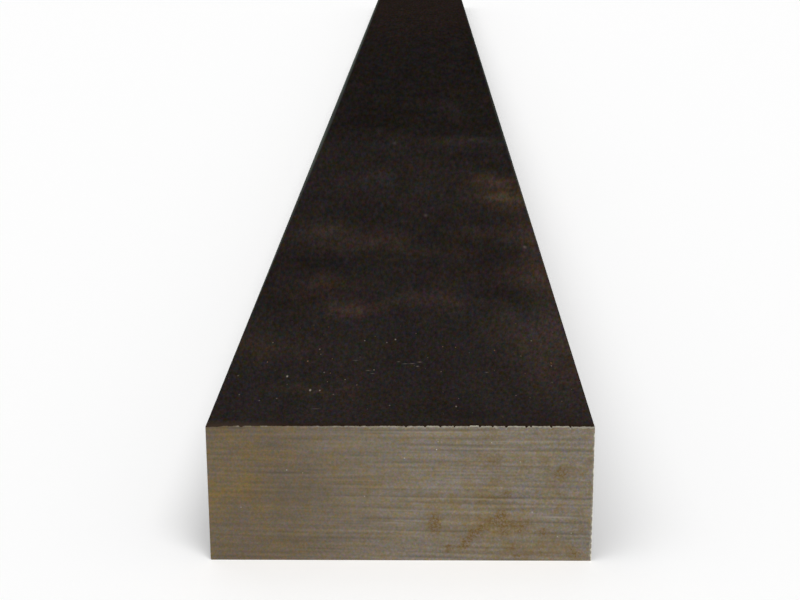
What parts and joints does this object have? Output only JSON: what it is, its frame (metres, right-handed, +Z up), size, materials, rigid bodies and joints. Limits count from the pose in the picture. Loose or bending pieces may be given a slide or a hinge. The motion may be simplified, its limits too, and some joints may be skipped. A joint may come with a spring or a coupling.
{
  "type": "steel flat bar",
  "caption": "Straight length of hot-rolled steel flat bar with a dark scaled skin and bare band-sawn ends, stock for brackets, frames and plates.",
  "frame": {"origin": "middle of the underside, on the surface the bar lies on", "axes": "+X across the width, +Y along the length, +Z up through the thickness; the bar lies on its wide face"},
  "size_m": [0.0508, 0.9144, 0.0191],
  "materials": {
    "steel": "hot-rolled: dark purplish-brown mill scale on the four rolled faces with faint brown rust bloom, bare band-sawn steel on the two ends"
  },
  "bodies": {
    "root": {"flat_bar": "steel"}
  },
  "joints": []
}
